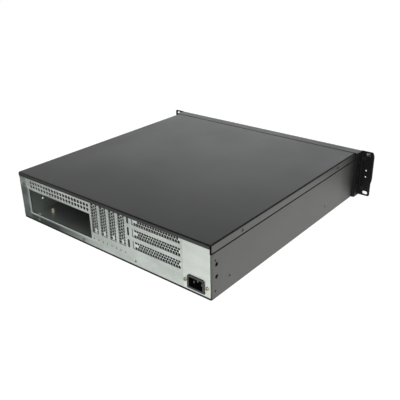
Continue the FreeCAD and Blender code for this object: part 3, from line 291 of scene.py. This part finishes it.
portLook = {**screwLook, "dark": (0.52, 0.52, 0.52), "light": (0.68, 0.68, 0.68)}
boardLook = {"dark": (0.012, 0.060, 0.030), "light": (0.020, 0.095, 0.048), "mottle": 180, "grain": 1500,
             "speckle": 0.2, "rough": 0.38, "roughRange": 0.08, "metal": 0.0, "bump": 0.2}
spacerLook = {**screwLook, "dark": (0.52, 0.52, 0.52), "light": (0.66, 0.66, 0.66)}
# Brass, paled and brightened as a painted highlight on the standoff.
paintedHighlightBrassLook = {**screwLook, "dark": (0.84, 0.80, 0.60), "light": (0.94, 0.91, 0.74), "metal": 0.2}
fanLook = {**inletLook, "dark": (0.010, 0.010, 0.011), "light": (0.018, 0.018, 0.019), "mottle": 60,
           "zones": []}
slotLooks = {
    "case_black": caseLook, "tray_black": trayLook, "cover_black": coverLook, "panel_zinc": panelLook,
    "slot_zinc": slotLook, "screw_zinc": screwLook, "screw_black": blackScrewLook,
    "screw_brass": brassScrewLook, "inlet_plastic": inletLook, "pin_metal": pinLook,
    "front_black": frontLook, "ear_black": earLook, "handle_black": handleLook,
    "button_black": buttonLook, "switch_plastic": fanLook, "lens_clear": lensLook,
    "port_metal": portLook, "board_green": boardLook, "spacer_metal": spacerLook,
    "standoff_brass": paintedHighlightBrassLook, "fan_plastic": fanLook, "inner_zinc": innerLook}
finishes = {slot: makeFinish(slot + "_finish", look) for slot, look in slotLooks.items()}
# The tray has a finish of its own, for its bare inner faces.
for entry in frame["record"]["subparts"]:
    piece = nodes[entry["node"]]
    slot = "tray_black" if entry["node"] == "base_tray" else entry["material_slot"]
    piece.data.materials.clear()
    piece.data.materials.append(finishes[slot])
print("materials made")


# Screws. Each plain screw of the frame gets a shaped head with a cross recess.

# Arms, depth and taper of the cross are shares of the head's radius.
screwStyle = {"segments": 32, "armReach": 0.46, "armHalf": 0.12, "recess": 0.45, "taper": 0.7,
              "leastDome": 1e-4, "flushFlat": 0.96, "flushRim": 0.05}
# Points nearer than "joined" are the same, those nearer than "level" lie at one height, and those
# nearer than "core" are the middle of a screw's end. "rim" is a share of the head's radius.
reading = {"joined": 1e-6, "level": 1e-5, "core": 1e-4, "rim": 0.98}
# Corners sharper than this stay sharp.
sharpAngle = math.radians(35)
# Radius and height along the head, as shares of its own; the last point is its foot.
domeOutline = ((0.62, 1.0), (0.80, 0.93), (0.93, 0.75), (1.0, 0.45), (1.0, 0.0))
screwGroups = {"cover_screws": "cover", "panel_screws": "case", "slot_screws": "case",
               "inlet_screws": "case", "ear_screws": "case", "handle_screws": "case"}
slotOf = {entry["node"]: entry["material_slot"] for entry in frame["record"]["subparts"]}


def solidsOf(node):
    # Points of each separate solid in a node.
    piece = nodes[node]
    mesh = bmesh.new()
    mesh.from_mesh(piece.data)
    bmesh.ops.remove_doubles(mesh, verts=mesh.verts, dist=reading["joined"])
    left = set(mesh.verts)
    groups = []
    while left:
        waiting = [left.pop()]
        group = []
        while waiting:
            vert = waiting.pop()
            group.append(piece.matrix_world @ vert.co)
            beside = {edge.other_vert(vert) for edge in vert.link_edges} & left
            left -= beside
            waiting += beside
        groups.append(group)
    mesh.free()
    return groups


def measureScrew(points):
    # Place and direction of the head's top, and the radii and heights of head and shank.
    low = Vector([min(point[i] for point in points) for i in range(3)])
    high = Vector([max(point[i] for point in points) for i in range(3)])
    size = high - low
    axis = min(range(3), key=lambda i: abs(size[(i + 1) % 3] - size[(i + 2) % 3]))
    middle = (low + high) / 2
    flat = [i for i in range(3) if i != axis]
    distance = [math.hypot(point[flat[0]] - middle[flat[0]], point[flat[1]] - middle[flat[1]])
                for point in points]
    radius = max(distance)
    rim = [point[axis] for point, reach in zip(points, distance) if reach > reading["rim"] * radius]
    side = 1 if sum(rim) / len(rim) > middle[axis] else -1
    top = high[axis] if side > 0 else low[axis]
    end = low[axis] if side > 0 else high[axis]
    foot = min(rim) if side > 0 else max(rim)
    atEnd = [reach for point, reach in zip(points, distance) if abs(point[axis] - end) < reading["level"]]
    shank = min(reach for reach in atEnd if reach > reading["core"])
    crown = middle.copy()
    crown[axis] = top
    way = Vector((0, 0, 0))
    way[axis] = side
    return {"at": crown, "way": way, "radius": radius, "height": abs(top - foot), "shank": shank,
            "length": abs(top - end)}


def headOutline(facts):
    # Domed where the head stands proud, and a flat countersunk one otherwise.
    radius, height, shank = facts["radius"], facts["height"], facts["shank"]
    if height > screwStyle["leastDome"]:
        line = [(radius * across, height * (up - 1)) for across, up in domeOutline]
        line.append((shank, -height))
    else:
        line = [(screwStyle["flushFlat"] * radius, 0), (radius, -screwStyle["flushRim"] * radius),
                (shank, -(radius - shank))]
    return line + [(shank, -facts["length"]), (0, -facts["length"])]


def addScrew(mesh, facts):
    # Turned outline below, and a top that is filled round the cross and let in under it.
    turn = facts["way"].to_track_quat("Z", "Y").to_matrix().to_4x4()
    stand = Matrix.Translation(facts["at"]) @ turn
    count = screwStyle["segments"]
    rings = []
    for across, up in headOutline(facts)[:-1]:
        angles = [2 * math.pi * k / count for k in range(count)]
        corners = [(across * math.cos(angle), across * math.sin(angle), up) for angle in angles]
        rings.append([mesh.verts.new(stand @ Vector(corner)) for corner in corners])
    for upper, lower in zip(rings[:-1], rings[1:]):
        for k in range(count):
            mesh.faces.new((upper[k - 1], lower[k - 1], lower[k], upper[k]))
    mesh.faces.new(list(reversed(rings[-1])))
    reach = screwStyle["armReach"] * facts["radius"]
    half = screwStyle["armHalf"] * facts["radius"]
    quarter = [(reach, -half), (reach, half), (half, half)]
    cross = []
    for k in range(4):
        cross += [Matrix.Rotation(k * math.pi / 2, 3, "Z") @ Vector((x, y, 0)) for x, y in quarter]
    depth = Vector((0, 0, -screwStyle["recess"] * facts["radius"]))
    mouth = [mesh.verts.new(stand @ point) for point in cross]
    floor = [mesh.verts.new(stand @ (point * screwStyle["taper"] + depth)) for point in cross]
    for k in range(len(cross)):
        mesh.faces.new((mouth[k], mouth[k - 1], floor[k - 1], floor[k]))
    mesh.faces.new(floor)
    edges = [mesh.edges.get((ring[k - 1], ring[k])) or mesh.edges.new((ring[k - 1], ring[k]))
             for ring in (rings[0], mouth) for k in range(len(ring))]
    bmesh.ops.triangle_fill(mesh, edges=edges, use_beauty=True)


def addPiece(name, mesh, body, slot):
    # A finished mesh as a piece of the object.
    bmesh.ops.recalc_face_normals(mesh, faces=mesh.faces)
    data = bpy.data.meshes.new(name)
    mesh.to_mesh(data)
    mesh.free()
    for face in data.polygons:
        face.use_smooth = True
    data.set_sharp_from_angle(angle=sharpAngle)
    data.materials.append(finishes[slot])
    piece = bpy.data.objects.new(name, data)
    bpy.context.scene.collection.objects.link(piece)
    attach(piece, body)
    return piece


def addScrews():
    for node, body in screwGroups.items():
        mesh = bmesh.new()
        for points in solidsOf(node):
            addScrew(mesh, measureScrew(points))
        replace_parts(addPiece(node + "_cross_head", mesh, body, slotOf[node]), node)


def addFanScrews():
    # Screws through the fan wall into the corners of both fans.
    look = {"inset": 0.00425, "radius": 0.0036, "height": 0.0016, "shank": 0.0019, "length": 0.009}
    wallSheet = 0.0012
    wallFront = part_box("fan_wall")[1].y - wallSheet
    mesh = bmesh.new()
    for node in ("fan_frame_left", "fan_frame_right"):
        low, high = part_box(node)
        for x in (low.x + look["inset"], high.x - look["inset"]):
            for z in (low.z + look["inset"], high.z - look["inset"]):
                head = Vector((x, wallFront - look["height"], z))
                addScrew(mesh, {**look, "at": head, "way": Vector((0, -1, 0))})
    addPiece("fan_corner_screws", mesh, "case", "screw_zinc")


addScrews()
addFanScrews()
print("screws made")


def addHem():
    # Black lower edge of the tray, under the rear panel.
    look = {"low": 0.0002, "high": 0.0019, "depth": 0.0009, "inset": 0.0004, "setback": 0.0001,
            "round": 0.0003}
    low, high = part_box("rear_panel")
    mesh = bmesh.new()
    bmesh.ops.create_cube(mesh, size=1)
    front = panelFace - look["setback"]
    for vert in mesh.verts:
        side = (low.x + look["inset"], high.x - look["inset"])[vert.co.x > 0]
        depth = front - (look["depth"] if vert.co.y < 0 else 0)
        vert.co = Vector((side, depth, look["high"] if vert.co.z > 0 else look["low"]))
    bmesh.ops.bevel(mesh, geom=mesh.edges[:], offset=look["round"], segments=2, affect="EDGES")
    addPiece("tray_rear_hem", mesh, "case", "ear_black")


addHem()
print("hem made")


# Floor, lights and camera.

studio = {"floorReach": 6.0, "floorColor": (0.86, 0.87, 0.87), "floorMottle": 3.0, "floorTint": 1.02,
          "floorRough": 0.9, "glow": 0.92, "catch": 0.22, "near": 1.05, "far": 0.20, "nearX": -0.22,
          "farX": 0.36, "frontDark": 0.12, "frontY": (-0.280, -0.220), "mirrorColor": (0.97, 1.0, 0.98),
          "airColor": (0.99, 1.0, 1.0)}
# Strength of the sky by the height of a direction, dark screens for black edges and the cover to
# mirror (middle, where one starts and is full, strength), and what is left of it under the horizon.
sky = {"heights": ((0.0, 2.20), (0.27, 2.20), (0.35, 1.30), (0.41, 0.52), (0.49, 0.20), (1.0, 0.26)),
       "screens": (((-0.25, -0.93, 0.28), 0.88, 0.96, 0.06), ((0.62, 0.48, 0.62), 0.86, 0.95, 0.06),
                   ((0.93, -0.20, 0.36), 0.80, 0.96, 0.50)),
       "below": 0.3, "horizon": (-0.06, -0.01)}


def lightPath(tree, ray):
    return tree.nodes.new("ShaderNodeLightPath").outputs[ray]


def mixShaders(tree, factor, first, second):
    mix = tree.nodes.new("ShaderNodeMixShader")
    tree.links.new(factor, mix.inputs[0])
    tree.links.new(first, mix.inputs[1])
    tree.links.new(second, mix.inputs[2])
    return mix.outputs[0]


def glow(tree, color, strength):
    emission = tree.nodes.new("ShaderNodeEmission")
    emission.inputs[0].default_value = (*color, 1)
    if hasattr(strength, "links"):
        tree.links.new(strength, emission.inputs[1])
    else:
        emission.inputs[1].default_value = strength
    return emission.outputs[0]


def addFloor():
    # White to the camera with the object's soft shadow, and open from below; shiny metal sees it
    # bright on the near side only.
    mesh = bpy.data.meshes.new("floor")
    reach = studio["floorReach"]
    corners = [(-reach, -reach, 0), (reach, -reach, 0), (reach, reach, 0), (-reach, reach, 0)]
    mesh.from_pydata(corners, [], [(0, 1, 2, 3)])
    floor = bpy.data.objects.new("floor", mesh)
    bpy.context.scene.collection.objects.link(floor)
    material, tree, shader = newMaterial("floor_finish")
    mottle = noise(tree, place(tree, (1, 1, 1)), studio["floorMottle"])
    tint = blendColors(tree, spread(tree, mottle, 0, 1), studio["floorColor"],
                       [part * studio["floorTint"] for part in studio["floorColor"]])
    tree.links.new(tint, shader.inputs["Base Color"])
    shader.inputs["Roughness"].default_value = studio["floorRough"]
    seen = tree.nodes.new("ShaderNodeAddShader")
    catch = tree.nodes.new("ShaderNodeBsdfDiffuse")
    catch.inputs[0].default_value = (*[studio["catch"]] * 3, 1)
    tree.links.new(glow(tree, (1, 1, 1), studio["glow"]), seen.inputs[0])
    tree.links.new(catch.outputs[0], seen.inputs[1])
    across = tree.nodes.new("ShaderNodeSeparateXYZ")
    tree.links.new(place(tree, (1, 1, 1)), across.inputs[0])
    fall = spread(tree, across.outputs[0], studio["near"], studio["far"], studio["nearX"],
                  studio["farX"])
    front = spread(tree, across.outputs[1], studio["frontDark"], 1, *studio["frontY"])
    mirrored = glow(tree, studio["mirrorColor"], combine(tree, "MULTIPLY", fall, front))
    shown = mixShaders(tree, lightPath(tree, "Is Glossy Ray"), shader.outputs[0], mirrored)
    shown = mixShaders(tree, lightPath(tree, "Is Transmission Ray"), shown, mirrored)
    shown = mixShaders(tree, lightPath(tree, "Is Camera Ray"), shown, seen.outputs[0])
    behind = tree.nodes.new("ShaderNodeNewGeometry").outputs["Backfacing"]
    shown = mixShaders(tree, behind, shown, tree.nodes.new("ShaderNodeBsdfTransparent").outputs[0])
    tree.links.new(shown, tree.nodes["Material Output"].inputs[0])
    mesh.materials.append(material)


def addLight(name, look):
    data = bpy.data.lights.new(name, "AREA")
    data.shape = "RECTANGLE"
    data.size, data.size_y = look["size"]
    data.energy = look["power"]
    light = bpy.data.objects.new(name, data)
    aim = Vector(look["aim"]) - Vector(look["at"])
    light.rotation_euler = aim.to_track_quat("-Z", "Y").to_euler()
    light.location = look["at"]
    bpy.context.scene.collection.objects.link(light)


def skyStrength(tree):
    # The curve holds half of each strength, and the factor for the horizon doubles it again.
    way = tree.nodes.new("ShaderNodeTexCoord").outputs["Generated"]
    split = tree.nodes.new("ShaderNodeSeparateXYZ")
    tree.links.new(way, split.inputs[0])
    curve = tree.nodes.new("ShaderNodeFloatCurve")
    points = curve.mapping.curves[0].points
    heights = sky["heights"]
    for point, (height, strength) in zip(points, (heights[0], heights[-1])):
        point.location = (height, strength / 2)
    for height, strength in heights[1:-1]:
        points.new(height, strength / 2)
    curve.mapping.update()
    tree.links.new(split.outputs[2], curve.inputs["Value"])
    above = spread(tree, split.outputs[2], sky["below"], 2, *sky["horizon"])
    strength = combine(tree, "MULTIPLY", curve.outputs[0], above)
    for middle, start, end, dark in sky["screens"]:
        toward = tree.nodes.new("ShaderNodeVectorMath")
        toward.operation = "DOT_PRODUCT"
        tree.links.new(way, toward.inputs[0])
        toward.inputs[1].default_value = Vector(middle).normalized()
        screen = spread(tree, toward.outputs["Value"], 1, dark, start, end)
        strength = combine(tree, "MULTIPLY", strength, screen)
    return strength


def addWorld():
    world = bpy.data.worlds.new("studio")
    bpy.context.scene.world = world
    world.use_nodes = True
    tree = world.node_tree
    tree.nodes.clear()
    output = tree.nodes.new("ShaderNodeOutputWorld")
    seen = tree.nodes.new("ShaderNodeBackground")
    seen.inputs[0].default_value = (1, 1, 1, 1)
    seen.inputs[1].default_value = 1.0
    air = tree.nodes.new("ShaderNodeBackground")
    air.inputs[0].default_value = (*studio["airColor"], 1)
    tree.links.new(skyStrength(tree), air.inputs[1])
    mixed = mixShaders(tree, lightPath(tree, "Is Camera Ray"), air.outputs[0], seen.outputs[0])
    tree.links.new(mixed, output.inputs[0])


def addCamera():
    view = {"at": (-0.618525, 0.506377 + panelFace, 0.460416), "azimuth": 219.73, "elevation": 25.253,
            "roll": -1.2168, "lens": 51.127, "sensor": 36.0, "clip": (0.01, 50)}
    az, el = math.radians(view["azimuth"]), math.radians(view["elevation"])
    back = Vector((math.sin(az) * math.cos(el), -math.cos(az) * math.cos(el), math.sin(el)))
    right = Vector((0, 0, 1)).cross(back).normalized()
    up = back.cross(right)
    turn = Matrix.Rotation(math.radians(view["roll"]), 4, "Z")
    data = bpy.data.cameras.new("camera")
    data.lens = view["lens"]
    data.sensor_width = view["sensor"]
    data.clip_start, data.clip_end = view["clip"]
    camera = bpy.data.objects.new("camera", data)
    basis = Matrix((right, up, back)).transposed().to_4x4()
    camera.matrix_world = Matrix.Translation(Vector(view["at"])) @ basis @ turn
    bpy.context.scene.collection.objects.link(camera)
    bpy.context.scene.camera = camera


lights = {
    "key_softbox": {"at": (-1.5, 1.4, 1.9), "aim": (0, 0, 0), "size": (1.2, 1.2), "power": 28},
}
addFloor()
addWorld()
for name, look in lights.items():
    addLight(name, look)
addCamera()
scene = bpy.context.scene
scene.view_settings.view_transform = "Standard"
scene.view_settings.look = "None"
print("stage made")
